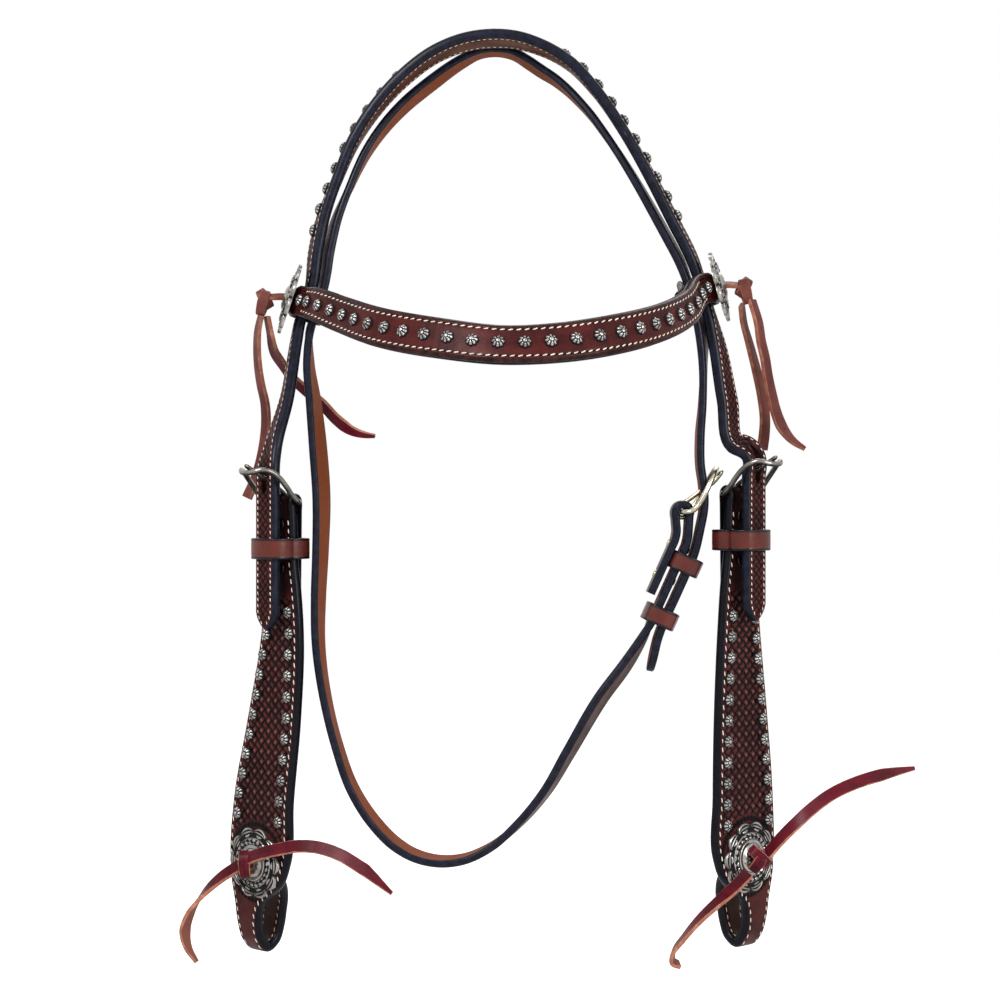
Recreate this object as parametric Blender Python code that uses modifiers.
"""Western headstall: crown, browband, throat strap and two buckled cheeks with bit loops.

Metres, +Z up. The front faces -Y and +X is the side with the throat buckle. The origin is the inner
face of the throat strap at the top of the poll, where the headstall hangs on the head.
"""

import math
from collections import namedtuple

import bmesh
import bpy
import numpy as np
from mathutils import Matrix, Vector

# Overall form: the arch over the poll, and the two cheeks that hang from it
ARCH_HALF_WIDTH = 0.120
ARCH_HEIGHT = 0.240
LEFT_CHEEK_SHIFT = 0.018
RIGHT_CHEEK_SHIFT = 0.004
CHEEK_LENGTH = 0.192
CHEEK_FACE_ANGLE = 42

# Leather
STRAP_WIDTH = 0.0155
LAYER = 0.0028
SEAM_GAP = 0.0003
CLEARANCE = 0.0003
FOLD_CLEARANCE = 0.0004
FACE = SEAM_GAP / 2 + LAYER
THROAT_THICKNESS = 0.0042
BAND_WIDTH = 0.0200
KEEPER_WALL = 0.0018
STATION_STEP = 0.010
BAND_STEP = 0.0045
CHEEK_STEP = 0.0065
FOLD_STEP = 0.0024

# Cheeks: half widths of the top and the broad end, bit loop, turned-back end and billet
CHEEK_TOP_HALF_WIDTH = 0.0104
CHEEK_HALF_WIDTH = 0.0225
LOOP_DROP = 0.0475
LOOP_DEPTH = 0.0180
LAP_RISE = 0.0130
LAP_STRAIGHT = 0.0065
LAP_GAP = 0.0006
TURNBACK_LENGTH = 0.047
LINING_START = 0.0065
BILLET_STANDOFF = 0.0105
BILLET_TAIL = 0.067
BILLET_STRAIGHT_RISE = 0.018
POINT_LENGTH = 0.009
CHEEK_KEEPER_DROP = 0.0245
CHEEK_KEEPER_WIDTH = 0.0110

# Buckles and their tongues
WIRE = 0.0029
CHEEK_BUCKLE_HALF_WIDTH = 0.0128
CHEEK_BUCKLE_REACH = 0.0271
CHEEK_BUCKLE_RISE = 0.0168
TONGUE_WIRE = 0.0024
TONGUE_REST = 0.0040
TONGUE_OVERHANG = 0.0010
SLOT_PLAY = 0.0006
BILLET_SLOT_LENGTH = 0.0118
BILLET_SLOT_RISE = 0.0115
FOLD_SLOT_DEPTH = 0.0054

# Throat buckle: its bar, how far the strap leans from upright there, and what the keepers hold
THROAT_LEAN = 24.3
THROAT_BUCKLE_HALF_WIDTH = 0.0110
THROAT_BUCKLE_LENGTH = 0.0285
THROAT_BUCKLE_STANDOFF = 0.0064
TURNBACK_OFFSET = 0.0023
MAIN_OFFSET = 0.0089
THROAT_BILLET_OFFSET = 0.0150
THROAT_TURNBACK_LENGTH = 0.046
THROAT_STRAIGHT_START = 0.0155
THROAT_STRAIGHT_END = 0.0590
THROAT_BILLET_LENGTH = 0.084
THROAT_KEEPER_WIDTH = 0.0095
UPPER_KEEPER_DROP = 0.0245
LOWER_KEEPER_DROP = 0.0550
KEEPER_SLACK = 0.0005
KEEPER_BULGE = 0.0016
LOWER_KEEPER_SLACK = 0.0012
THROAT_SLOT_RISE = 0.0148
THROAT_SLOT_LENGTH = 0.0098

# Browband loops round the crown and the throat strap
BAND_OUTER_STANDOFF = 0.0046
BAND_FRONT_STANDOFF = 0.0040
BAND_INNER_STANDOFF = 0.0090
BAND_LOOP_REACH = 0.0086
BAND_NECK_REACH = 0.0150
BAND_NECK_STANDOFF = 0.0012
BAND_TAB_START = 0.018
BAND_TAB_END = 0.028
BAND_TAB_OFFSET = 0.0034
BAND_CONCHO_SEAT = 0.0005

# Screws, rivets, spots and conchos
SCREW_DROPS = (0.0120, 0.0350)
SCREW_HEAD_RADIUS = 0.0040
SCREW_HEAD = 0.0011
SCREW_BACK_HEAD = 0.0008
SCREW_POST_RADIUS = 0.0018
RIVET_DROPS = (0.0176, 0.0355)
RIVET_HEAD_RADIUS = 0.0022
RIVET_HEAD = 0.0008
RIVET_POST_RADIUS = 0.0012
SPOT_RADIUS = 0.0042
SPOT_CROWN_RADIUS = 0.0020
SPOT_HEIGHT = 0.0024
SPOT_STRIP_WIDTH = 0.0016
SPOT_SEAT = 0.0005
SPOT_STRIP_LIFT = 0.0002
SPOT_STRIP_DEPTH = 0.0006
BAND_SPOT_INSET = 0.0005
STRAP_SPOT_PITCH = 0.0115
CHEEK_SPOT_INSET = 0.0060
CONCHO_RADIUS = 0.0190
CONCHO_HEIGHT = 0.0045
CONCHO_SHEET = 0.0012
CONCHO_VALLEY = 0.0015
CONCHO_DOME_RADIUS = 0.0135
CONCHO_FOOT_SHARE = 0.12

# Ties: the thong's knot, the part that goes through the leather and the flat end behind it
THONG_WIDTH = 0.0065
THONG_THICKNESS = 0.0022
SHANK_WIDTH = 0.0024
SHANK_HEIGHT = 0.0064
FLANGE_WIDTH = 0.0050
FLANGE_HEIGHT = 0.0098
FLANGE_DEPTH = 0.0015
BAND_FLANGE_DEPTH = 0.0012
CHEEK_KNOT_SIZE = (0.0072, 0.0054, 0.0130)
BAND_KNOT_SIZE = (0.0072, 0.0130, 0.0120)
CHEEK_KNOT_SAG = 0.0
BAND_KNOT_SAG = 0.0060
TAIL_STEP = 0.006

# Fineness of round pieces, and the smallest sizes used in cutting and joining
ROUND_STEPS = 14
HOLE_STEPS = 10
SPOT_STEPS = 6
PETALS = 10
PETAL_STEPS = 4
OVERRUN = 0.002
MERGE = 0.00001

# Front edge of the crown from the left cheek over the poll to the right one, in shares of the arch's
# half width, height and half width, with the turn of the strap's flat in degrees
CROWN_SHARES = [
    (-0.963, -0.874, -0.092, 29), (-0.921, -0.776, -0.079, 16), (-0.884, -0.645, -0.075, 10),
    (-0.869, -0.601, -0.075, 8), (-0.842, -0.564, -0.075, 8), (-0.816, -0.527, -0.075, 12),
    (-0.790, -0.448, -0.075, 18), (-0.759, -0.370, -0.075, 14), (-0.711, -0.293, -0.075, 6),
    (-0.642, -0.204, -0.075, -1), (-0.554, -0.132, -0.075, -6), (-0.436, -0.064, -0.075, -10),
    (-0.279, -0.005, -0.075, -12), (-0.127, 0.023, -0.071, -13), (0.000, 0.028, -0.071, -13),
    (0.070, 0.024, -0.071, -11), (0.166, 0.008, -0.075, -7), (0.306, -0.034, -0.075, 0),
    (0.419, -0.097, -0.075, 5), (0.537, -0.186, -0.075, 8), (0.655, -0.293, -0.075, 12),
    (0.751, -0.389, -0.075, 15), (0.829, -0.466, -0.075, 14), (0.877, -0.531, -0.075, 10),
    (0.899, -0.579, -0.075, 14), (0.925, -0.656, -0.079, 27), (0.956, -0.776, -0.092, 38),
    (1.001, -0.885, -0.103, 40),
]
# Each buckle bar's middle in shares of the arch's half width and height
CHEEK_BAR_SHARES = {"left": (-0.955, -0.99792), "right": (1.05, -0.97917)}
THROAT_BAR_SHARES = (0.8008, -1.02)
LOOP_SHARES = {"left": -0.564, "right": -0.535}
CROWN_SPOTS = {"left": (-0.405, 9), "right": (-0.375, 10)}
# A pointed end: how far along its length, and how much of the width is left
POINT_SHARES = [(0.35, 0.86), (0.70, 0.56), (1.00, 0.16)]

# Throat strap's front edge in the same shares: the sweep under the jaw and up the left side, then the
# short run below the right loop
THROAT_FRONT_SHARE = -0.067
THROAT_SWEEP_SHARES = [
    (0.634, -1.282, -0.067, 8), (0.547, -1.342, -0.067, 20), (0.424, -1.423, -0.067, 23),
    (0.282, -1.546, -0.067, 20), (0.187, -1.631, -0.067, 15), (0.073, -1.702, -0.067, 10),
    (-0.040, -1.754, -0.067, 4), (-0.163, -1.784, -0.067, 0), (-0.267, -1.790, -0.067, -3),
    (-0.381, -1.778, -0.067, -6), (-0.467, -1.754, -0.067, -9), (-0.561, -1.707, -0.067, -10),
    (-0.656, -1.631, -0.067, -8), (-0.722, -1.536, -0.067, -6), (-0.769, -1.442, -0.067, -6),
    (-0.811, -1.300, -0.067, -10), (-0.815, -1.212, -0.067, -14), (-0.810, -1.103, -0.067, -18),
    (-0.810, -0.994, -0.067, -22), (-0.826, -0.874, -0.067, -22), (-0.838, -0.775, -0.067, -15),
    (-0.846, -0.690, -0.067, -4),
]
THROAT_DESCENT_SHARES = [
    (0.885, -0.705, -0.067, 8), (0.886, -0.786, -0.067, 3), (0.879, -0.852, -0.067, 0),
]
# The throat strap beside, under and behind the crown: the crown's own height share, the drop below its
# front edge and the place behind that edge in strap widths, and how much of its turn the strap follows
UNDER_CROWN_SHARES = [
    (-0.620, 0.395, 0.02, 1.0), (-0.500, 0.400, 0.04, 1.0), (-0.380, 0.425, 0.14, 1.0),
    (-0.250, 0.475, 0.36, 1.0), (-0.130, 0.530, 0.66, 1.0), (-0.050, 0.580, 0.90, 1.0),
    (-0.010, 0.570, 1.00, 0.9), (0.015, 0.430, 1.06, 0.5), (0.028, 0.297, 1.08, 0.0),
]
# At the throat buckle, in shares of the billet's offset and length: turned-back end, main strap, billet
TURNBACK_SHARES = [(0.093, -0.131), (-0.080, -0.071)]
MAIN_SHARES = [(0.413, -0.071), (0.533, -0.131)]
BILLET_SHARES = [
    (-0.100, 0.314), (0.307, 0.198), (0.593, 0.095), (0.813, -0.055), (0.973, -0.206), (1.0, -0.352),
    (1.0, -0.52), (1.0, -0.70), (1.05, -0.80), (1.15, -0.89),
]

# Browband's middle line from left to right in shares of the arch's half width, half width and height,
# with its upright's sideways tilt, its backward lean in degrees, and its width
BAND_SHARES = [
    (-0.795, -0.245, -0.574, 0.22, 5, 0.86), (-0.650, -0.458, -0.608, 0.12, 11, 0.92),
    (-0.467, -0.700, -0.646, 0.05, 17, 0.97), (-0.250, -0.858, -0.671, 0, 22, 1),
    (0.017, -0.933, -0.688, 0, 24, 1), (0.258, -0.900, -0.681, 0, 22, 1),
    (0.475, -0.792, -0.660, -0.05, 17, 0.97), (0.658, -0.600, -0.629, -0.12, 11, 0.92),
    (0.800, -0.350, -0.585, -0.20, 5, 0.86),
]
BAND_LOOP_WIDTH_SHARE = 0.80
BAND_SPOTS = 26

# Cheek outline: height in shares of the cheek's length, half width in shares of the top's half width
# down to the keeper and of the broad half width below it
CHEEK_NECK_SHARES = [(0, 0.92), (-0.08, 0.98), (-0.167, 1.02)]
CHEEK_FACE_SHARES = [(-0.235, 0.56), (-0.365, 0.67), (-0.60, 0.86), (-0.83, 0.99), (-1.0, 1.0)]
# Where the cheek starts to lean forward of its buckle, and over what length, in shares of its length
CHEEK_LEAN_SHARES = (0.31, 0.69)
# Bit loop below the concho: depth and drop in shares of the loop, front and rear edges in shares of the
# broad half width
BIT_LOOP_SHARES = [
    (0, -0.25, -0.73, 0.95), (0.02, -0.48, -0.12, 0.85), (0.08, -0.70, 0.06, 0.82),
    (0.25, -0.90, 0.10, 0.80), (0.53, -1.00, 0.11, 0.79), (0.81, -0.94, 0.10, 0.78),
    (0.98, -0.78, 0.08, 0.78), (1.00, -0.62, 0.02, 0.76), (0.93, -0.44, -0.10, 0.70),
    (0.74, -0.30, -0.22, 0.60), (0.50, -0.215, -0.30, 0.50),
]
LAP_EDGE_SHARES = (-0.36, 0.42)
TURNBACK_END_SHARE = 0.86
TURNBACK_ROW_SHARES = (1, 0.67, 0.33, 0.10)
# Spots down a cheek's front and rear edge: first and last in shares of the length, and how many
CHEEK_SPOTS = {
    "left": ((0.302, 0.879, 11), (0.366, 0.869, 10)),
    "right": ((0.334, 0.905, 11), (0.344, 0.905, 11)),
}

# Buckle frame's outline: side in shares of its half width, place along its profile from bar to apex
FRAME_SHARES = [
    (0, 0), (0.55, 0), (0.86, 0.01), (1.00, 0.08), (1.00, 0.24), (1.00, 0.42), (0.97, 0.58),
    (0.86, 0.74), (0.64, 0.88), (0.33, 0.97), (0, 1.00),
]
# Side view of a cheek buckle's frame in shares of its reach and rise, and of the throat buckle's frame
# and tongue in shares of its stand-off and length
CHEEK_PROFILE_SHARES = [
    (0, 0), (0.14, 0.01), (0.30, 0.28), (0.47, 0.60), (0.66, 0.88), (0.84, 1.00), (1.00, 0.90),
]
THROAT_PROFILE_SHARES = [(0, 0), (0.55, 0.05), (0.88, 0.22), (0.97, 0.48), (0.98, 0.72), (1.10, 1.00)]
THROAT_TONGUE_SHARES = [(0.30, 0.34), (0.80, 0.54), (1.30, 0.72), (1.66, 1.01)]
EYE_SWEEP = 240
EYE_STEPS = 10

# Concho's dome and raised ring in shares of the dome's radius and the concho's height
CONCHO_DOME_SHARES = [
    (0, 1.00), (0.45, 0.88), (0.72, 0.50), (0.84, 0.48), (0.92, 0.70), (1.00, 0.42),
    (1.00, CONCHO_FOOT_SHARE), (0, CONCHO_FOOT_SHARE),
]

# Free tails of the thongs in the same shares as the crown, and the way each one's width points at its
# knot and at its free end
TAILS = {
    "cheek_tail_left_front": ([
        (-1.109, -1.783, 0.012), (-1.043, -1.767, -0.049), (-0.967, -1.754, -0.104),
        (-0.875, -1.743, -0.149), (-0.794, -1.743, -0.174), (-0.696, -1.755, -0.207),
        (-0.586, -1.784, -0.241), (-0.451, -1.826, -0.274)], (0, 0.40, 0.92), (0, 0.40, 0.92)),
    "cheek_tail_left_rear": ([
        (-1.161, -1.804, 0.049), (-1.242, -1.832, 0.068), (-1.323, -1.872, 0.076),
        (-1.376, -1.912, 0.076), (-1.398, -1.950, 0.076), (-1.384, -1.985, 0.068),
        (-1.343, -2.017, 0.059)], (0.30, 0.30, 0.90), (0.70, 0.70, 0.10)),
    "cheek_tail_right_rear": ([
        (1.171, -1.767, -0.054), (1.235, -1.726, -0.082), (1.303, -1.691, -0.095),
        (1.370, -1.662, -0.087), (1.445, -1.636, -0.079), (1.549, -1.613, -0.062),
        (1.683, -1.594, -0.045), (1.818, -1.582, -0.029)], (0, 0.45, 0.89), (0, 0.30, 0.95)),
    "cheek_tail_right_front": ([
        (1.080, -1.806, -0.095), (1.028, -1.830, -0.121), (0.951, -1.859, -0.157),
        (0.856, -1.901, -0.177), (0.790, -1.940, -0.179), (0.747, -1.974, -0.162),
        (0.750, -1.994, -0.145), (0.777, -2.001, -0.137)], (0.10, 0.60, 0.80), (0.30, 0.95, 0.10)),
    "band_tail_left_outer": ([
        (-1.047, -0.588, -0.037), (-1.062, -0.619, -0.025), (-1.069, -0.653, 0.000),
        (-1.068, -0.696, 0.025), (-1.058, -0.739, 0.050), (-1.044, -0.778, 0.083),
        (-1.043, -0.811, 0.117), (-1.050, -0.851, 0.142), (-1.066, -0.893, 0.167),
        (-1.095, -0.942, 0.183), (-1.136, -0.989, 0.183)], (0.35, -0.93, 0), (0.80, -0.60, 0)),
    "band_tail_left_inner": ([
        (-1.022, -0.591, -0.033), (-1.008, -0.632, -0.015), (-1.000, -0.662, 0.035),
        (-0.966, -0.695, 0.108), (-0.929, -0.721, 0.133), (-0.872, -0.748, 0.150),
        (-0.798, -0.779, 0.167), (-0.730, -0.815, 0.167), (-0.663, -0.839, 0.158),
        (-0.608, -0.848, 0.150), (-0.559, -0.851, 0.142)], (0.35, -0.93, 0.10), (0.20, -0.30, 0.93)),
    "band_tail_right_inner": ([
        (1.058, -0.566, -0.039), (1.075, -0.609, 0.000), (1.095, -0.641, 0.015),
        (1.120, -0.680, 0.042), (1.145, -0.721, 0.075), (1.166, -0.762, 0.100),
        (1.182, -0.815, 0.125), (1.179, -0.851, 0.133), (1.171, -0.882, 0.142)],
        (0.35, 0.93, 0), (0.85, 0.50, 0)),
    "band_tail_right_outer": ([
        (1.102, -0.556, -0.050), (1.131, -0.611, -0.067), (1.141, -0.644, -0.058),
        (1.161, -0.683, -0.042), (1.177, -0.724, -0.017), (1.198, -0.765, 0.008),
        (1.218, -0.800, 0.025), (1.246, -0.833, 0.033), (1.294, -0.863, 0.033),
        (1.346, -0.881, 0.025)], (0.60, 0.80, 0), (0.60, 0.30, 0.70)),
}

# Finishes: colour, metallic, roughness
MAHOGANY = ((0.072, 0.014, 0.011), 0.0, 0.38)
BLACK_LEATHER = ((0.010, 0.008, 0.010), 0.0, 0.42)
FLESH = ((0.180, 0.058, 0.018), 0.0, 0.70)
BURGUNDY = ((0.130, 0.014, 0.020), 0.0, 0.50)
NICKEL = ((0.420, 0.410, 0.390), 1.0, 0.28)
ANTIQUE_BRASS = ((0.330, 0.250, 0.130), 1.0, 0.32)

REAR = Vector((0, 1, 0))
UP = Vector((0, 0, 1))
SIDES = {"left": -1, "right": 1}
FACE_UP = Matrix.Rotation(math.radians(-90), 4, "X")

Station = namedtuple("Station", "centre across normal low high")
Frame = namedtuple("Frame", "origin rear out up")


def clear_scene():
    """Start from an empty scene."""
    for thing in list(bpy.data.objects):
        bpy.data.objects.remove(thing, do_unlink=True)


def collection(name):
    """A collection in the scene, made if it isn't there."""
    group = bpy.data.collections.get(name)
    if group is None:
        group = bpy.data.collections.new(name)
        bpy.context.scene.collection.children.link(group)
    return group


def finish(name, values):
    """A plain material from a colour, a metallic value and a roughness."""
    colour, metallic, roughness = values
    material = bpy.data.materials.new(name)
    material.use_nodes = True
    shader = material.node_tree.nodes["Principled BSDF"]
    shader.inputs["Base Color"].default_value = (*colour, 1)
    shader.inputs["Metallic"].default_value = metallic
    shader.inputs["Roughness"].default_value = roughness
    return material


def add_part(name, data, values, location=(0, 0, 0)):
    """A named object of the headstall with its own material."""
    part = bpy.data.objects.new(name, data)
    part.location = location
    data.materials.append(finish(name, values))
    collection("western_headstall").objects.link(part)
    return part


def mesh_from(name, bm, origin=None, smooth_angle=30):
    """A mesh from a bmesh whose points are in the world, kept about an origin."""
    bmesh.ops.recalc_face_normals(bm, faces=bm.faces)
    if origin is not None:
        bmesh.ops.translate(bm, vec=-Vector(origin), verts=bm.verts)
    mesh = bpy.data.meshes.new(name)
    bm.to_mesh(mesh)
    bm.free()
    mesh.shade_smooth()
    mesh.set_sharp_from_angle(angle=math.radians(smooth_angle))
    return mesh


def smooth(rows, step):
    """Even rows along a smooth line through the given ones, whose first three columns are metres."""
    rows = np.array(rows, float)
    places = np.concatenate(([0], np.cumsum(np.linalg.norm(np.diff(rows[:, :3], axis=0), axis=1))))
    slopes = np.gradient(rows, places, axis=0)
    fine = []
    for start in range(len(rows) - 1):
        span = places[start + 1] - places[start]
        for share in np.arange(0, 1, 0.125):
            rise = share * share * (3 - 2 * share)
            lead = share * (1 - share) ** 2
            trail = share * share * (share - 1)
            fine.append(rows[start] * (1 - rise) + rows[start + 1] * rise
                        + span * (slopes[start] * lead + slopes[start + 1] * trail))
    fine = np.array(fine + [rows[-1]])
    lengths = np.concatenate(([0], np.cumsum(np.linalg.norm(np.diff(fine[:, :3], axis=0), axis=1))))
    count = max(2, round(lengths[-1] / step) + 1)
    even = np.linspace(0, lengths[-1], count)
    return np.stack([np.interp(even, lengths, column) for column in fine.T], axis=1)


def headings(places):
    """Unit directions of travel along a row of points."""
    lengths = np.concatenate(([0], np.cumsum(np.linalg.norm(np.diff(places, axis=0), axis=1))))
    return [Vector(slope).normalized() for slope in np.gradient(places, lengths, axis=0)]


def edge_stations(rows):
    """Stations of a strap whose front edge runs through rows of place, turn and both side limits."""
    stations = []
    for row, heading in zip(rows, headings(rows[:, :3])):
        outward = Vector((-heading.z, 0, heading.x)).normalized()
        turn = math.radians(row[3])
        across = math.cos(turn) * REAR + math.sin(turn) * outward
        across = (across - heading * across.dot(heading)).normalized()
        stations.append(Station(Vector(row[:3]), across, heading.cross(across), row[4], row[5]))
    return stations


def upright_stations(rows):
    """Stations of a strap from rows of place, the way its width points and its half width."""
    stations = []
    for row, heading in zip(rows, headings(rows[:, :3])):
        across = Vector(row[3:6])
        across = (across - heading * across.dot(heading)).normalized()
        stations.append(Station(Vector(row[:3]), across, heading.cross(across), -row[6], row[6]))
    return stations


def ribbon(name, stations, base, depth, values):
    """A strap layer of even thickness, from base to base plus depth above the stations' middle."""
    bm = bmesh.new()
    last = len(stations) - 1
    bmesh.ops.create_grid(bm, x_segments=last, y_segments=1, size=0.5)
    bmesh.ops.triangulate(bm, faces=bm.faces, quad_method="FIXED")
    homes = {}
    for vertex in bm.verts:
        station = stations[round((vertex.co.x + 0.5) * last)]
        side = station.high if vertex.co.y > 0 else station.low
        vertex.co = station.centre + station.across * side + station.normal * base
        homes[vertex.co.to_tuple()] = station.normal
    grown = bmesh.ops.extrude_face_region(bm, geom=bm.faces[:], use_keep_orig=True)
    for vertex in grown["geom"]:
        if isinstance(vertex, bmesh.types.BMVert):
            vertex.co += homes[vertex.co.to_tuple()] * depth
    return add_part(name, mesh_from(name, bm), values)


def place(frame, q, n, z):
    """A point in a frame: q along the bar towards the rear, n outward, z up."""
    return frame.origin + frame.rear * q + frame.out * n + frame.up * z


def upright(frame, q=0.0, n=0.0, z=0.0):
    """Placing of a piece in a frame: its x along the bar, y outward and z up, right-handed."""
    along = frame.out.cross(frame.up)
    turn = Matrix((along, frame.out, frame.up)).transposed().to_4x4()
    return Matrix.Translation(place(frame, q, n, z)) @ turn


def cheek_frame(side):
    """Frame at the middle of a cheek's buckle bar."""
    sign = SIDES[side]
    angle = math.radians(CHEEK_FACE_ANGLE)
    rear = Vector((sign * math.cos(angle), math.sin(angle), 0))
    out = Vector((sign * math.sin(angle), -math.cos(angle), 0))
    across, height = CHEEK_BAR_SHARES[side]
    return Frame(Vector((across * ARCH_HALF_WIDTH, 0, height * ARCH_HEIGHT)), rear, out, UP)


def bar_depth():
    """How far a cheek's buckle bar lies behind the cheek's middle surface."""
    return WIRE / 2 + FOLD_CLEARANCE - SEAM_GAP / 2


def throat_frame():
    """Frame at the middle of the throat buckle's bar, leaning with the strap."""
    lean = math.radians(THROAT_LEAN)
    middle = THROAT_FRONT_SHARE * ARCH_HALF_WIDTH + STRAP_WIDTH / 2
    out = Vector((math.cos(lean), 0, -math.sin(lean)))
    up = Vector((math.sin(lean), 0, math.cos(lean)))
    across, height = THROAT_BAR_SHARES
    return Frame(Vector((across * ARCH_HALF_WIDTH, middle, height * ARCH_HEIGHT)), REAR, out, up)


def box(bm, placing, low, high):
    """A box between two corners, in a placing."""
    low, high = Vector(low), Vector(high)
    grown = Matrix.Diagonal((*(high - low), 1))
    bmesh.ops.create_cube(bm, size=1, matrix=placing @ Matrix.Translation((low + high) / 2) @ grown)


def rod(bm, placing, radius, start, end):
    """A round rod along the outward axis of a placing."""
    middle = Matrix.Translation((0, (start + end) / 2, 0))
    bmesh.ops.create_cone(bm, cap_ends=True, segments=HOLE_STEPS, radius1=radius, radius2=radius,
                          depth=end - start, matrix=placing @ middle @ FACE_UP)


def cutter(name, bm):
    """A hidden object that cuts or joins another."""
    tool = bpy.data.objects.new(name, mesh_from(name, bm))
    tool.hide_render = True
    tool.display_type = "WIRE"
    collection("cutters").objects.link(tool)
    return tool


def combine(target, tool, operation):
    """Cut a part with a tool, or join the tool to it."""
    modifier = target.modifiers.new(tool.name, "BOOLEAN")
    modifier.object = tool
    modifier.operation = operation
    modifier.solver = "EXACT"


def turned_mesh(name, profile, steps):
    """A mesh turned about z from a profile of radius and height that runs down its outer side."""
    bm = bmesh.new()
    corners = [bm.verts.new((radius, 0, height)) for radius, height in profile]
    for upper, lower in zip(corners, corners[1:]):
        bm.edges.new((upper, lower))
    line = bpy.data.meshes.new(name)
    bm.to_mesh(line)
    bm.free()
    lathe = bpy.data.objects.new(name, line)
    collection("cutters").objects.link(lathe)
    screw = lathe.modifiers.new("turn", "SCREW")
    screw.steps = steps
    screw.render_steps = steps
    screw.use_merge_vertices = True
    screw.merge_threshold = MERGE
    bpy.context.view_layer.update()
    shape = bpy.data.meshes.new_from_object(lathe.evaluated_get(bpy.context.evaluated_depsgraph_get()))
    bpy.data.objects.remove(lathe, do_unlink=True)
    return shape


def wire(name, points, thickness, cyclic, values, origin):
    """A round wire through points in the world."""
    curve = bpy.data.curves.new(name, "CURVE")
    curve.dimensions = "3D"
    spline = curve.splines.new("POLY")
    spline.points.add(len(points) - 1)
    for knot, point in zip(spline.points, points):
        knot.co = (*(Vector(point) - Vector(origin)), 1)
    spline.use_cyclic_u = cyclic
    curve.bevel_depth = thickness / 2
    curve.bevel_resolution = 2
    curve.use_fill_caps = not cyclic
    return add_part(name, curve, values, origin)


def outline_part(name, loops, depth, placing, values):
    """A flat piece of even depth from closed outlines in its own x and y."""
    curve = bpy.data.curves.new(name, "CURVE")
    curve.dimensions = "2D"
    curve.fill_mode = "BOTH"
    curve.extrude = depth / 2
    for loop in loops:
        spline = curve.splines.new("POLY")
        spline.points.add(len(loop) - 1)
        for knot, (x, y) in zip(spline.points, loop):
            knot.co = (x, y, 0, 1)
        spline.use_cyclic_u = True
    part = add_part(name, curve, values)
    part.matrix_world = placing
    return part


def welded(part):
    """The same part as a closed mesh in place of its curve."""
    bpy.context.view_layer.update()
    shape = bpy.data.meshes.new_from_object(part.evaluated_get(bpy.context.evaluated_depsgraph_get()))
    bm = bmesh.new()
    bm.from_mesh(shape)
    bmesh.ops.remove_doubles(bm, verts=bm.verts, dist=MERGE)
    bmesh.ops.recalc_face_normals(bm, faces=bm.faces)
    bm.to_mesh(shape)
    bm.free()
    name, placing = part.name, part.matrix_world.copy()
    bpy.data.objects.remove(part, do_unlink=True)
    solid = bpy.data.objects.new(name, shape)
    solid.name = name
    solid.matrix_world = placing
    collection("western_headstall").objects.link(solid)
    return solid


def share_place(row):
    """A route row's point in metres."""
    return [row[0] * ARCH_HALF_WIDTH, row[2] * ARCH_HALF_WIDTH, row[1] * ARCH_HEIGHT]


def route_rows(shares):
    """Rows of place, turn and side limits for a strap of full width."""
    return [share_place(row) + [row[3], 0, STRAP_WIDTH] for row in shares]


def pointed(stations, extend):
    """Stations that carry a strap on to a point past the last given one, or before the first."""
    end, other = (stations[-1], stations[-2]) if extend > 0 else (stations[0], stations[1])
    heading = (end.centre - other.centre).normalized()
    tip = []
    for along, left in POINT_SHARES:
        trim = STRAP_WIDTH * (1 - left) / 2
        tip.append(end._replace(centre=end.centre + heading * POINT_LENGTH * along,
                                low=trim, high=STRAP_WIDTH - trim))
    return stations + tip if extend > 0 else tip[::-1] + stations


def billet_rows(side, heights):
    """Rows of the crown's straight end in front of a cheek."""
    frame = cheek_frame(side)
    turn = math.degrees(math.atan2(abs(frame.rear.x), frame.rear.y))
    return [[*place(frame, -STRAP_WIDTH / 2, BILLET_STANDOFF, z), turn, 0, STRAP_WIDTH] for z in heights]


def crown_stations():
    """Stations of the crown from the left billet's point to the right one's."""
    tail = POINT_LENGTH - BILLET_TAIL
    left = billet_rows("left", (tail, tail / 2, 0, BILLET_STRAIGHT_RISE / 2, BILLET_STRAIGHT_RISE))
    right = billet_rows("right", (BILLET_STRAIGHT_RISE, BILLET_STRAIGHT_RISE / 2, 0, tail / 2, tail))
    stations = edge_stations(smooth(left + route_rows(CROWN_SHARES) + right, STATION_STEP))
    return pointed(pointed(stations, 1), -1)


def crown_side(crown, side):
    """The crown's stations on one side of the poll, from the poll down."""
    stations = [station for station in crown if station.centre.x * SIDES[side] > 0]
    return stations if side == "right" else stations[::-1]


def distance_to(stations, share):
    """How far down a line of stations a height share lies."""
    height = share * ARCH_HEIGHT
    low = next(i for i, station in enumerate(stations) if station.centre.z <= height)
    upper, lower = stations[low - 1].centre, stations[low].centre
    part = (upper.z - height) / (upper.z - lower.z)
    return route_length(stations[:low]) + (lower - upper).length * part


def build_crown(crown):
    """Both layers of the crown, with the tongue slots of its billets."""
    layers = [ribbon("crown_outer", crown, SEAM_GAP / 2, LAYER, MAHOGANY),
              ribbon("crown_lining", crown, -FACE, LAYER, BLACK_LEATHER)]
    bm = bmesh.new()
    half = TONGUE_WIRE / 2 + SLOT_PLAY
    reach = FACE + OVERRUN
    for side in SIDES:
        placing = upright(cheek_frame(side), n=BILLET_STANDOFF, z=BILLET_SLOT_RISE)
        box(bm, placing, (-half, -reach, -BILLET_SLOT_LENGTH / 2), (half, reach, BILLET_SLOT_LENGTH / 2))
    tool = cutter("billet_slots", bm)
    for layer in layers:
        combine(layer, tool, "DIFFERENCE")


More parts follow.
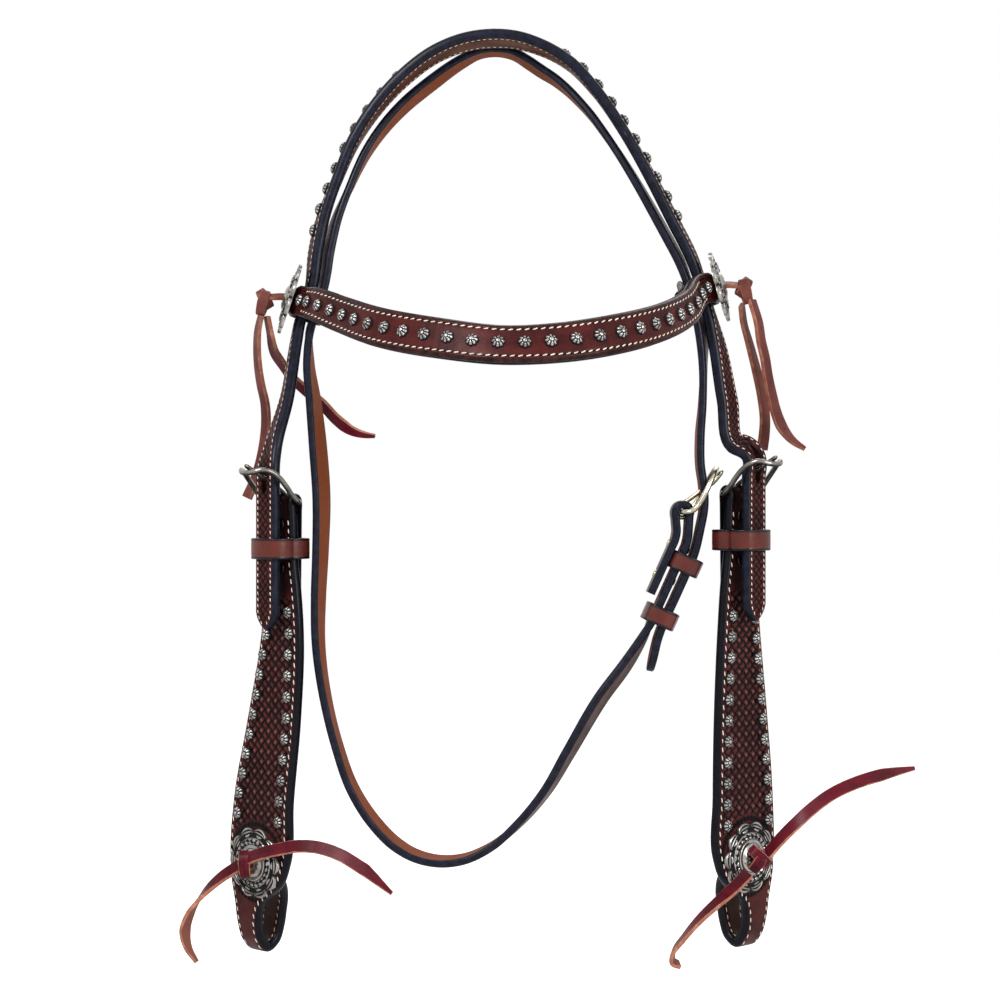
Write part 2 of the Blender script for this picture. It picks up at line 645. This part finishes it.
def spot_row(name, line, distances):
    """A row of domed spots at distances along a line on the leather, joined by a thin strip."""
    seats = along_stations(line, distances)
    strip = [seat._replace(low=-SPOT_STRIP_WIDTH / 2, high=SPOT_STRIP_WIDTH / 2) for seat in seats]
    row = ribbon(name, strip, FACE + SPOT_SEAT + SPOT_STRIP_LIFT, SPOT_STRIP_DEPTH, NICKEL)
    bm = bmesh.new()
    for seat in seats:
        turn = seat.normal.to_track_quat("Z", "Y").to_matrix().to_4x4()
        lift = Matrix.Translation(seat.centre + seat.normal * (FACE + SPOT_SEAT + SPOT_HEIGHT / 2))
        bmesh.ops.create_cone(bm, cap_ends=True, segments=SPOT_STEPS, radius1=SPOT_RADIUS,
                              radius2=SPOT_CROWN_RADIUS, depth=SPOT_HEIGHT, matrix=lift @ turn)
    combine(row, cutter(f"{name}_domes", bm), "UNION")


def middle_line(stations):
    """Stations moved from a strap's front edge to the middle of its width."""
    return [station._replace(centre=station.centre + station.across * (station.low + station.high) / 2)
            for station in stations]


def along_stations(stations, distances):
    """Stations between the given ones, at distances along them."""
    centres = np.array([station.centre for station in stations])
    lengths = np.concatenate(([0], np.cumsum(np.linalg.norm(np.diff(centres, axis=0), axis=1))))
    found = []
    for distance in distances:
        index = min(int(np.searchsorted(lengths, distance, side="right")) - 1, len(stations) - 2)
        share = (distance - lengths[index]) / (lengths[index + 1] - lengths[index])
        first, second = stations[index], stations[index + 1]
        found.append(Station(first.centre.lerp(second.centre, share),
                             first.across.lerp(second.across, share).normalized(),
                             first.normal.lerp(second.normal, share).normalized(),
                             first.low + (second.low - first.low) * share,
                             first.high + (second.high - first.high) * share))
    return found


def route_length(stations):
    """Length of a line of stations."""
    return sum((b.centre - a.centre).length for a, b in zip(stations, stations[1:]))


def build_crown_spots(crown):
    """The spots down both sides of the crown, ending above the browband."""
    for side in SIDES:
        share, count = CROWN_SPOTS[side]
        stations = middle_line(crown_side(crown, side))
        last = distance_to(stations, share)
        distances = [last - STRAP_SPOT_PITCH * index for index in range(count)]
        spot_row(f"crown_spots_{side}", stations, distances)


def loop_frame(crown, side):
    """Frame in a browband loop: the crown's middle line there, its rear edge, its face and up."""
    line = middle_line(crown_side(crown, side))
    station = along_stations(line, [distance_to(line, LOOP_SHARES[side])])[0]
    up = station.across.cross(station.normal)
    return Frame(station.centre, station.across, station.normal, up if up.z > 0 else -up)


def loop_rows(frame):
    """Rows of a browband loop from its neck round the crown's rear edge to its inner leg's front."""
    radius = (BAND_OUTER_STANDOFF + BAND_INNER_STANDOFF) / 2
    middle = (BAND_OUTER_STANDOFF - BAND_INNER_STANDOFF) / 2
    route = [(-BAND_NECK_REACH, BAND_NECK_STANDOFF), (-BAND_LOOP_REACH, BAND_FRONT_STANDOFF),
             (0, BAND_OUTER_STANDOFF)]
    for step in range(7):
        angle = math.radians(90 - 30 * step)
        route.append((BAND_LOOP_REACH + radius * math.cos(angle), middle + radius * math.sin(angle)))
    route += [(0, -BAND_INNER_STANDOFF), (-BAND_LOOP_REACH, -BAND_INNER_STANDOFF)]
    half = BAND_WIDTH * BAND_LOOP_WIDTH_SHARE / 2
    return [[*place(frame, s, n, 0), *frame.up, half] for s, n in route]


def band_row(shares):
    """A row of the browband between its loops."""
    x, y, z, tilt, lean, width = shares
    lean = math.radians(lean)
    upward = Vector((tilt, math.sin(lean), math.cos(lean))).normalized()
    return [x * ARCH_HALF_WIDTH, y * ARCH_HALF_WIDTH, z * ARCH_HEIGHT, *upward, BAND_WIDTH * width / 2]


def tab_rows(front, distances):
    """Rows of a loop's end laid against the back of the browband, at distances from the loop."""
    return [[*(station.centre - station.normal * BAND_TAB_OFFSET), *station.across, station.high]
            for station in along_stations(front, distances)]


def build_browband(crown):
    """The browband's outer layer with both loops, its lining and its spots."""
    left = loop_rows(loop_frame(crown, "left"))
    right = loop_rows(loop_frame(crown, "right"))
    main = [left[0]] + [band_row(row) for row in BAND_SHARES] + [right[0]]
    front = upright_stations(smooth(main, BAND_STEP))
    length = route_length(front)
    middle = (BAND_TAB_START + BAND_TAB_END) / 2
    left_tab = tab_rows(front, (BAND_TAB_END, middle, BAND_TAB_START))
    right_tab = tab_rows(front, (length - BAND_TAB_START, length - middle, length - BAND_TAB_END))
    rows = left_tab + left[::-1] + main[1:-1] + right + right_tab
    whole = upright_stations(smooth(rows, BAND_STEP))
    ribbon("browband_outer", whole, SEAM_GAP / 2, LAYER, MAHOGANY)
    lead = nearest(whole, front[0].centre)
    trail = nearest(whole, front[-1].centre)
    ribbon("browband_lining", whole[lead + 1:trail], -FACE, LAYER, BLACK_LEATHER)
    run = whole[lead:trail + 1]
    spread = route_length(run) - 2 * BAND_SPOT_INSET
    spot_row("browband_spots", run, [BAND_SPOT_INSET + spread * index / (BAND_SPOTS - 1)
                                     for index in range(BAND_SPOTS)])


def nearest(stations, point):
    """Index of the station nearest a point."""
    return min(range(len(stations)), key=lambda index: (stations[index].centre - point).length)


def lean_shift(side, z):
    """How far a cheek's middle has moved to the rear at a height below its bar."""
    start, span = CHEEK_LEAN_SHARES
    share = min(max((-z / CHEEK_LENGTH - start) / span, 0), 1)
    shift = {"left": LEFT_CHEEK_SHIFT, "right": RIGHT_CHEEK_SHIFT}[side]
    return shift * share * share * (3 - 2 * share)


def face_rows(side):
    """Rows down a cheek's face: outward place, height, front edge and rear edge."""
    widths = [(z, width * CHEEK_TOP_HALF_WIDTH) for z, width in CHEEK_NECK_SHARES]
    widths += [(z, width * CHEEK_HALF_WIDTH) for z, width in CHEEK_FACE_SHARES]
    rows = []
    for share, half in widths:
        z = share * CHEEK_LENGTH
        shift = lean_shift(side, z)
        rows.append((0, 0, z, shift - half, shift + half))
    return rows


def loop_and_lap_rows(side):
    """Rows of a cheek's bit loop and of its end laid against the back of the cheek."""
    shift = lean_shift(side, -CHEEK_LENGTH)
    rows = [(-depth * LOOP_DEPTH, 0, drop * LOOP_DROP - CHEEK_LENGTH,
             shift + front * CHEEK_HALF_WIDTH, shift + rear * CHEEK_HALF_WIDTH)
            for depth, drop, front, rear in BIT_LOOP_SHARES]
    front, rear = (shift + share * CHEEK_HALF_WIDTH for share in LAP_EDGE_SHARES)
    rows += [(-lap_depth(), 0, z - CHEEK_LENGTH, front, rear) for z in (-LAP_STRAIGHT, 0, LAP_RISE)]
    return rows


def lap_depth():
    """How far the lap's middle surface lies behind the cheek's."""
    return 2 * FACE + LAP_GAP


def fold_rows():
    """Rows of a cheek's turned-back end, its fold round the buckle bar and the top of its face."""
    radius = bar_depth()
    end = CHEEK_TOP_HALF_WIDTH * TURNBACK_END_SHARE
    top = CHEEK_TOP_HALF_WIDTH * CHEEK_NECK_SHARES[0][1]
    rows = [(-2 * radius, 0, -TURNBACK_LENGTH * left, -top + (top - end) * left, top - (top - end) * left)
            for left in TURNBACK_ROW_SHARES]
    for step in range(7):
        angle = math.radians(180 - 30 * step)
        rows.append((radius * math.cos(angle) - radius, 0, radius * math.sin(angle), -top, top))
    return rows


def cheek_stations(side):
    """Stations of a cheek's outer layer, and the index where its lining starts."""
    frame = cheek_frame(side)
    face = face_rows(side)
    top = np.array(face[0])
    first = top + (np.array(face[1]) - top) * (LINING_START / (face[0][2] - face[1][2]))
    upper = fold_rows()
    lower = smooth([first] + face[1:] + loop_and_lap_rows(side), CHEEK_STEP)
    rows = np.concatenate((np.array(upper, float), lower))
    stations = []
    for row, heading in zip(rows, headings(rows[:, :3])):
        normal = (frame.up * heading.x - frame.out * heading.z).normalized()
        stations.append(Station(place(frame, 0, row[0], row[2]), frame.rear, normal, row[3], row[4]))
    return stations, len(upper)


def cheek_openings(side):
    """The tongue slot, the screw holes and the tie's slot of a cheek."""
    frame = cheek_frame(side)
    bm = bmesh.new()
    back = 2 * bar_depth() + FACE + OVERRUN
    half = TONGUE_WIRE / 2 + SLOT_PLAY
    box(bm, upright(frame), (-half, -back, -FOLD_SLOT_DEPTH), (half, FACE + OVERRUN, FACE + OVERRUN))
    for drop in SCREW_DROPS:
        rod(bm, upright(frame, z=-drop), SCREW_POST_RADIUS + CLEARANCE, -back, FACE + OVERRUN)
    tie = upright(frame, lean_shift(side, -CHEEK_LENGTH), 0, -CHEEK_LENGTH)
    tie_slot(bm, tie, -lap_depth() - FACE - OVERRUN, FACE + OVERRUN)
    return cutter(f"cheek_openings_{side}", bm)


def tie_slot(bm, placing, start, end):
    """A slot for a thong, between two depths along a placing's outward axis."""
    half, rise = SHANK_WIDTH / 2 + CLEARANCE, SHANK_HEIGHT / 2 + CLEARANCE
    box(bm, placing, (-half, start, -rise), (half, end, rise))


def build_cheek(side):
    """Both layers of a cheek, with its holes and slots, and its spots."""
    stations, start = cheek_stations(side)
    tool = cheek_openings(side)
    combine(ribbon(f"cheek_outer_{side}", stations, SEAM_GAP / 2, LAYER, MAHOGANY), tool, "DIFFERENCE")
    lining = ribbon(f"cheek_lining_{side}", stations[start:], -FACE, LAYER, BLACK_LEATHER)
    combine(lining, tool, "DIFFERENCE")
    build_cheek_spots(side)


def build_cheek_spots(side):
    """The spots down the front and the rear edge of a cheek."""
    frame = cheek_frame(side)
    rows = np.array(face_rows(side))[::-1]
    for edge_name, column, inset, spots in zip(("front", "rear"), (3, 4), (1, -1), CHEEK_SPOTS[side]):
        first, last, count = spots
        line = []
        for share in np.linspace(first, last, 2 * count - 1):
            z = -share * CHEEK_LENGTH
            edge = np.interp(z, rows[:, 2], rows[:, column])
            seat = place(frame, edge + inset * CHEEK_SPOT_INSET, 0, z)
            line.append(Station(seat, frame.rear, frame.out, 0, 0))
        distances = np.linspace(0, route_length(line), count)
        spot_row(f"cheek_spots_{edge_name}_{side}", line, distances)


def headed_pin(name, placing, high, low, post, radius, head, back_head, values):
    """A pin along a placing's outward axis, with a head at both ends of its grip."""
    profile = [(0, high + head), (radius, high + head), (radius, high), (post, high),
               (post, low), (radius, low), (radius, low - back_head), (0, low - back_head)]
    bm = bmesh.new()
    bm.from_mesh(turned_mesh(name, profile, ROUND_STEPS))
    bmesh.ops.transform(bm, matrix=placing @ FACE_UP, verts=bm.verts)
    origin = placing.translation
    add_part(name, mesh_from(name, bm, origin), values, origin)


def build_screws(side):
    """The two post screws that close a cheek's turned-back end round the buckle bar."""
    back = 2 * bar_depth() + FACE + CLEARANCE
    for level, drop in zip(("upper", "lower"), SCREW_DROPS):
        placing = upright(cheek_frame(side), z=-drop)
        headed_pin(f"cheek_screw_{level}_{side}", placing, FACE + CLEARANCE, -back, SCREW_POST_RADIUS,
                   SCREW_HEAD_RADIUS, SCREW_HEAD, SCREW_BACK_HEAD, NICKEL)


def frame_points(frame, half, profile):
    """A buckle frame's wire: its outline bent along a side profile of outward place and height."""
    profile = np.array(profile)
    lengths = np.concatenate(([0], np.cumsum(np.linalg.norm(np.diff(profile, axis=0), axis=1))))
    shares = lengths / lengths[-1]
    points = []
    for side, along in FRAME_SHARES + [(-side, along) for side, along in FRAME_SHARES[-2:0:-1]]:
        n, z = (np.interp(along, shares, column) for column in profile.T)
        points.append(place(frame, side * half, n, z))
    return points


def tongue_points(frame, bar, shaft):
    """A buckle tongue: its eye round the bar, then its shaft through the given places."""
    radius = (WIRE + TONGUE_WIRE) / 2 + CLEARANCE
    ahead = (shaft[0][0] - bar[0], shaft[0][1] - bar[1])
    leave = math.atan2(ahead[1], ahead[0]) + math.acos(radius / math.hypot(*ahead))
    points = []
    for step in range(EYE_STEPS + 1):
        angle = leave + math.radians(EYE_SWEEP) * (1 - step / EYE_STEPS)
        points.append((bar[0] + radius * math.cos(angle), bar[1] + radius * math.sin(angle)))
    return [place(frame, 0, n, z) for n, z in points + shaft]


def build_cheek_buckle(side):
    """A cheek's buckle frame, which turns on its bar, and the tongue on the same bar."""
    frame = cheek_frame(side)
    bar = (-bar_depth(), 0)
    profile = [(n * CHEEK_BUCKLE_REACH + bar[0], z * CHEEK_BUCKLE_RISE) for n, z in CHEEK_PROFILE_SHARES]
    axis = place(frame, 0, *bar)
    points = frame_points(frame, CHEEK_BUCKLE_HALF_WIDTH, profile)
    wire(f"cheek_buckle_{side}", points, WIRE, True, NICKEL, axis)
    tip = (profile[-1][0] + TONGUE_OVERHANG, profile[-1][1] + TONGUE_REST)
    wire(f"cheek_tongue_{side}", tongue_points(frame, bar, [tip]), TONGUE_WIRE, False, NICKEL, axis)


def grown_outline(points, distance):
    """A closed outline moved outward by a distance; its corners run anticlockwise."""
    grown = []
    for index, point in enumerate(points):
        before = (Vector(point) - Vector(points[index - 1])).normalized()
        after = (Vector(points[(index + 1) % len(points)]) - Vector(point)).normalized()
        out = Vector((before.y + after.y, -before.x - after.x))
        grown.append(Vector(point) + out * distance / (1 + before.dot(after)))
    return grown


def keeper(name, inner, width, placing):
    """A leather loop of even wall round an inner outline."""
    outline_part(name, [grown_outline(inner, KEEPER_WALL), inner], width, placing, MAHOGANY)


def build_cheek_keeper(side):
    """The loose keeper that holds a billet down on its cheek."""
    front = BILLET_STANDOFF + FACE + KEEPER_SLACK
    back = -(2 * bar_depth() + FACE + SCREW_BACK_HEAD + 2 * CLEARANCE)
    narrow = (STRAP_WIDTH + KEEPER_SLACK) / 2 + CLEARANCE / 2
    broad = CHEEK_TOP_HALF_WIDTH * CHEEK_NECK_SHARES[-1][1] + KEEPER_SLACK
    shoulder = FACE + CLEARANCE
    inner = [(narrow, front), (-narrow, front), (-broad, shoulder), (-broad, back), (broad, back),
             (broad, shoulder)]
    placing = upright(cheek_frame(side), z=-CHEEK_KEEPER_DROP)
    keeper(f"cheek_keeper_{side}", inner, CHEEK_KEEPER_WIDTH, placing)


def build_throat_keepers():
    """The keeper stitched in behind the main strap, and the loose one below it."""
    side = STRAP_WIDTH / 2 + KEEPER_SLACK
    front = THROAT_BILLET_OFFSET + THROAT_THICKNESS / 2 + KEEPER_BULGE
    fits = {"upper": (UPPER_KEEPER_DROP, 0), "lower": (LOWER_KEEPER_DROP, LOWER_KEEPER_SLACK)}
    for name, (drop, slack) in fits.items():
        back = MAIN_OFFSET - THROAT_THICKNESS / 2 - CLEARANCE - slack
        inner = [(side, front), (-side, front), (-side, back), (side, back)]
        placing = upright(throat_frame(), z=-drop)
        keeper(f"throat_keeper_{name}", inner, THROAT_KEEPER_WIDTH, placing)


def build_throat_rivets():
    """The rivets through the throat strap's turned-back end."""
    low = TURNBACK_OFFSET - THROAT_THICKNESS / 2 - CLEARANCE
    high = MAIN_OFFSET + THROAT_THICKNESS / 2 + CLEARANCE
    for level, drop in zip(("upper", "lower"), RIVET_DROPS):
        headed_pin(f"throat_rivet_{level}", upright(throat_frame(), z=-drop), high, low, RIVET_POST_RADIUS,
                   RIVET_HEAD_RADIUS, RIVET_HEAD, RIVET_HEAD, ANTIQUE_BRASS)


def build_throat_buckle():
    """The throat buckle's frame and tongue, both on its bar."""
    frame = throat_frame()
    profile = [(n * THROAT_BUCKLE_STANDOFF, z * THROAT_BUCKLE_LENGTH) for n, z in THROAT_PROFILE_SHARES]
    points = frame_points(frame, THROAT_BUCKLE_HALF_WIDTH, profile)
    wire("throat_buckle", points, WIRE, True, ANTIQUE_BRASS, frame.origin)
    shaft = [(n * THROAT_BUCKLE_STANDOFF, z * THROAT_BUCKLE_LENGTH) for n, z in THROAT_TONGUE_SHARES]
    points = tongue_points(frame, (0, 0), shaft)
    wire("throat_tongue", points, TONGUE_WIRE, False, ANTIQUE_BRASS, frame.origin)


def throat_rows(places):
    """Rows of the throat strap's front edge from outward places and heights at its buckle."""
    return [[*place(throat_frame(), -STRAP_WIDTH / 2, n, z), 0, 0, STRAP_WIDTH] for n, z in places]


def near_buckle(shares):
    """Outward places and heights from shares of the billet's offset and length."""
    return [(n * THROAT_BILLET_OFFSET, z * THROAT_BILLET_LENGTH) for n, z in shares]


def under_crown_rows(crown):
    """Rows of the throat strap beside, under and behind the crown, from the left loop to the right."""
    levels, drops, backs, follows = zip(*UNDER_CROWN_SHARES)
    rows = []
    for station in crown:
        level = station.centre.z / ARCH_HEIGHT
        if level < levels[0]:
            continue
        heading = station.across.cross(station.normal)
        outward = Vector((-heading.z, 0, heading.x)).normalized()
        drop, back, follow = (np.interp(level, levels, column) for column in (drops, backs, follows))
        point = station.centre + (REAR * back - outward * drop) * STRAP_WIDTH
        turn = math.degrees(math.asin(station.across.dot(outward))) * follow
        rows.append([*point, turn, 0, STRAP_WIDTH])
    return rows


def throat_stations(crown):
    """Stations of the throat strap from its turned-back end to its billet's point."""
    radius = WIRE / 2 + FOLD_CLEARANCE + THROAT_THICKNESS / 2
    angles = [math.radians(180 - 30 * step) for step in range(7)]
    middle = (THROAT_STRAIGHT_START + THROAT_STRAIGHT_END) / 2
    heights = (-THROAT_TURNBACK_LENGTH, -middle, THROAT_KEEPER_WIDTH / 2 - UPPER_KEEPER_DROP,
               -THROAT_STRAIGHT_START)
    fold = [(TURNBACK_OFFSET, z) for z in heights]
    fold += near_buckle(TURNBACK_SHARES)
    fold += [(radius * math.cos(angle), radius * math.sin(angle)) for angle in angles]
    fold += near_buckle(MAIN_SHARES) + [(MAIN_OFFSET, -THROAT_STRAIGHT_START)]
    heights = (-THROAT_STRAIGHT_START, -middle, THROAT_KEEPER_WIDTH / 2 - LOWER_KEEPER_DROP,
               -THROAT_STRAIGHT_END)
    main = [(MAIN_OFFSET, z) for z in heights]
    rows = throat_rows(main) + route_rows(THROAT_SWEEP_SHARES) + under_crown_rows(crown)
    rows += route_rows(THROAT_DESCENT_SHARES) + throat_rows(near_buckle(BILLET_SHARES))
    whole = np.concatenate((smooth(throat_rows(fold), FOLD_STEP), smooth(rows, STATION_STEP)[1:]))
    return pointed(edge_stations(whole), 1)


def build_throat_strap(crown):
    """The throat strap, with its buckle's slot, its billet's hole and its rivet holes."""
    strap = ribbon("throat_strap", throat_stations(crown), -THROAT_THICKNESS / 2, THROAT_THICKNESS, FLESH)
    placing = upright(throat_frame())
    bm = bmesh.new()
    half = TONGUE_WIRE / 2 + SLOT_PLAY
    fold = WIRE / 2 + FOLD_CLEARANCE + THROAT_THICKNESS + SLOT_PLAY
    box(bm, placing, (-half, -fold - OVERRUN, -FOLD_SLOT_DEPTH), (half, fold, fold))
    middle = THROAT_BILLET_OFFSET / 3
    reach = 2 * THROAT_THICKNESS
    rise = THROAT_SLOT_LENGTH / 2
    box(bm, placing, (-half, middle - reach, THROAT_SLOT_RISE - rise),
        (half, middle + reach, THROAT_SLOT_RISE + rise))
    start = TURNBACK_OFFSET - THROAT_THICKNESS / 2 - OVERRUN
    end = MAIN_OFFSET + THROAT_THICKNESS / 2 + CLEARANCE
    for drop in RIVET_DROPS:
        rod(bm, upright(throat_frame(), z=-drop), RIVET_POST_RADIUS + CLEARANCE, start, end)
    combine(strap, cutter("throat_openings", bm), "DIFFERENCE")


def petal_outline():
    """A concho's scalloped edge."""
    outline = []
    for step in range(PETALS * PETAL_STEPS):
        angle = 2 * math.pi * step / (PETALS * PETAL_STEPS)
        radius = CONCHO_RADIUS - CONCHO_VALLEY * (1 - abs(math.cos(angle * PETALS / 2)))
        outline.append((radius * math.cos(angle), radius * math.sin(angle)))
    return outline


def build_concho(name, frame, q, n, z):
    """A scalloped concho with a dome in a raised ring, slotted for its thong."""
    face_up = upright(frame, q, n, z) @ FACE_UP
    lift = face_up @ Matrix.Translation((0, 0, CONCHO_SHEET / 2))
    plate = welded(outline_part(name, [petal_outline()], CONCHO_SHEET, lift, NICKEL))
    profile = [(radius * CONCHO_DOME_RADIUS, height * CONCHO_HEIGHT) for radius, height in CONCHO_DOME_SHARES]
    bm = bmesh.new()
    bm.from_mesh(turned_mesh(f"{name}_dome", profile, ROUND_STEPS))
    bmesh.ops.transform(bm, matrix=face_up, verts=bm.verts)
    combine(plate, cutter(f"{name}_dome", bm), "UNION")
    bm = bmesh.new()
    tie_slot(bm, upright(frame, q, n, z), -OVERRUN, CONCHO_HEIGHT + OVERRUN)
    combine(plate, cutter(f"{name}_slot", bm), "DIFFERENCE")


def build_tie(name, placing, flange, flange_depth, knot, knot_size, sag):
    """A thong's hidden flat end, its part through the leather and its knot."""
    bm = bmesh.new()
    box(bm, placing, (-SHANK_WIDTH / 2, flange - flange_depth / 2, -SHANK_HEIGHT / 2),
        (SHANK_WIDTH / 2, knot - knot_size[1] / 4, SHANK_HEIGHT / 2))
    tie = add_part(name, mesh_from(name, bm), BURGUNDY)
    bm = bmesh.new()
    box(bm, placing, (-FLANGE_WIDTH / 2, flange - flange_depth, -FLANGE_HEIGHT / 2),
        (FLANGE_WIDTH / 2, flange, FLANGE_HEIGHT / 2))
    combine(tie, cutter(f"{name}_flange", bm), "UNION")
    bm = bmesh.new()
    round_knot = placing @ Matrix.Translation((0, knot, -sag)) @ Matrix.Diagonal((*knot_size, 1))
    bmesh.ops.create_uvsphere(bm, u_segments=12, v_segments=8, radius=0.5, matrix=round_knot)
    combine(tie, cutter(f"{name}_knot", bm), "UNION")


def build_cheek_concho(side):
    """A cheek's concho and the tie that holds it and closes the bit loop."""
    frame = cheek_frame(side)
    q = lean_shift(side, -CHEEK_LENGTH)
    seat = FACE + CLEARANCE
    build_concho(f"cheek_concho_{side}", frame, q, seat, -CHEEK_LENGTH)
    placing = upright(frame, q, 0, -CHEEK_LENGTH)
    knot = seat + CONCHO_HEIGHT + CLEARANCE + CHEEK_KNOT_SIZE[1] / 2
    build_tie(f"cheek_tie_{side}", placing, -lap_depth() - FACE - CLEARANCE, FLANGE_DEPTH, knot,
              CHEEK_KNOT_SIZE, CHEEK_KNOT_SAG)


def build_band_conchos(crown):
    """The conchos on the browband's loops, their ties, and the slots through the loops."""
    band = bpy.data.objects["browband_outer"]
    slots = bmesh.new()
    for side in SIDES:
        frame = loop_frame(crown, side)
        tie_slot(slots, upright(frame), BAND_OUTER_STANDOFF - OVERRUN, BAND_OUTER_STANDOFF + FACE + OVERRUN)
        seat = BAND_OUTER_STANDOFF + FACE + BAND_CONCHO_SEAT
        build_concho(f"browband_concho_{side}", frame, 0, seat, 0)
        knot = seat + CONCHO_HEIGHT + CLEARANCE + BAND_KNOT_SIZE[1] / 2
        build_tie(f"browband_tie_{side}", upright(frame), FACE + CLEARANCE + BAND_FLANGE_DEPTH,
                  BAND_FLANGE_DEPTH, knot, BAND_KNOT_SIZE, BAND_KNOT_SAG)
    combine(band, cutter("browband_slots", slots), "DIFFERENCE")


def build_tails():
    """The free tails of the four thongs."""
    for name, (route, first, last) in TAILS.items():
        flats = [Vector(first).lerp(Vector(last), index / (len(route) - 1)) for index in range(len(route))]
        rows = [share_place(row) + [*flat, THONG_WIDTH / 2] for row, flat in zip(route, flats)]
        stations = upright_stations(smooth(rows, TAIL_STEP))
        ribbon(name, stations, -THONG_THICKNESS / 2, THONG_THICKNESS, BURGUNDY)


def main():
    """Build the headstall."""
    clear_scene()
    crown = crown_stations()
    build_crown(crown)
    build_crown_spots(crown)
    build_browband(crown)
    build_band_conchos(crown)
    build_throat_strap(crown)
    build_throat_buckle()
    build_throat_keepers()
    build_throat_rivets()
    for side in SIDES:
        build_cheek(side)
        build_screws(side)
        build_cheek_buckle(side)
        build_cheek_keeper(side)
        build_cheek_concho(side)
    build_tails()


main()
